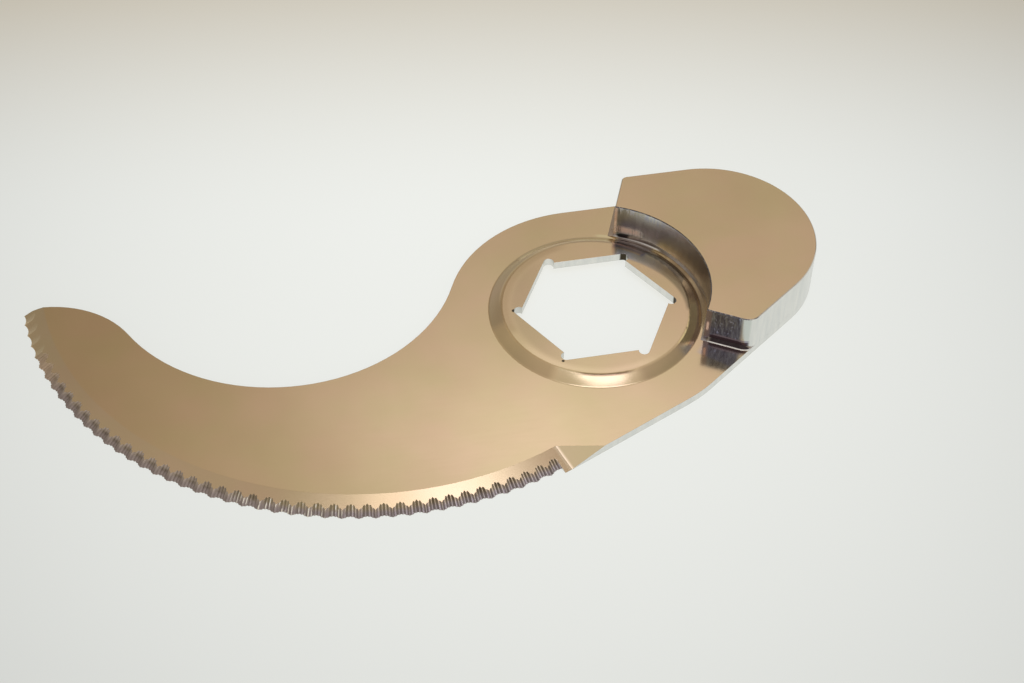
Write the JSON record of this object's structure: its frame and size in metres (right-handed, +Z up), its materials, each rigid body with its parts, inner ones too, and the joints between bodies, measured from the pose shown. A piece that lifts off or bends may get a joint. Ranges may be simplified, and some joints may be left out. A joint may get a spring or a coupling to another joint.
{
  "type": "cutter mixer blade",
  "caption": "Sickle-shaped cutting blade with a scalloped, finely fluted bevelled edge, a raised hub with a hexagon bore and a welded counterweight.",
  "frame": {"origin": "on the axis of the hexagon bore, at the underside of the plate", "axes": "+Z up along the bore axis, away from the underside; +X towards the counterweight, -X towards the tip of the blade; two corners of the hexagon lie on the X axis"},
  "size_m": [0.4668, 0.2154, 0.0284],
  "materials": {
    "blade_steel": "polished stainless steel with a warm reflection, ground along the cutting edge",
    "weight_steel": "polished top, pale brushed outer wall, dark heat tint on the hollow wall and end faces",
    "weld_steel": "smoothed weld bead"
  },
  "bodies": {
    "root": {"blade_plate": "blade_steel", "counterweight": "weight_steel", "weld_seam": "weld_steel"}
  },
  "joints": []
}
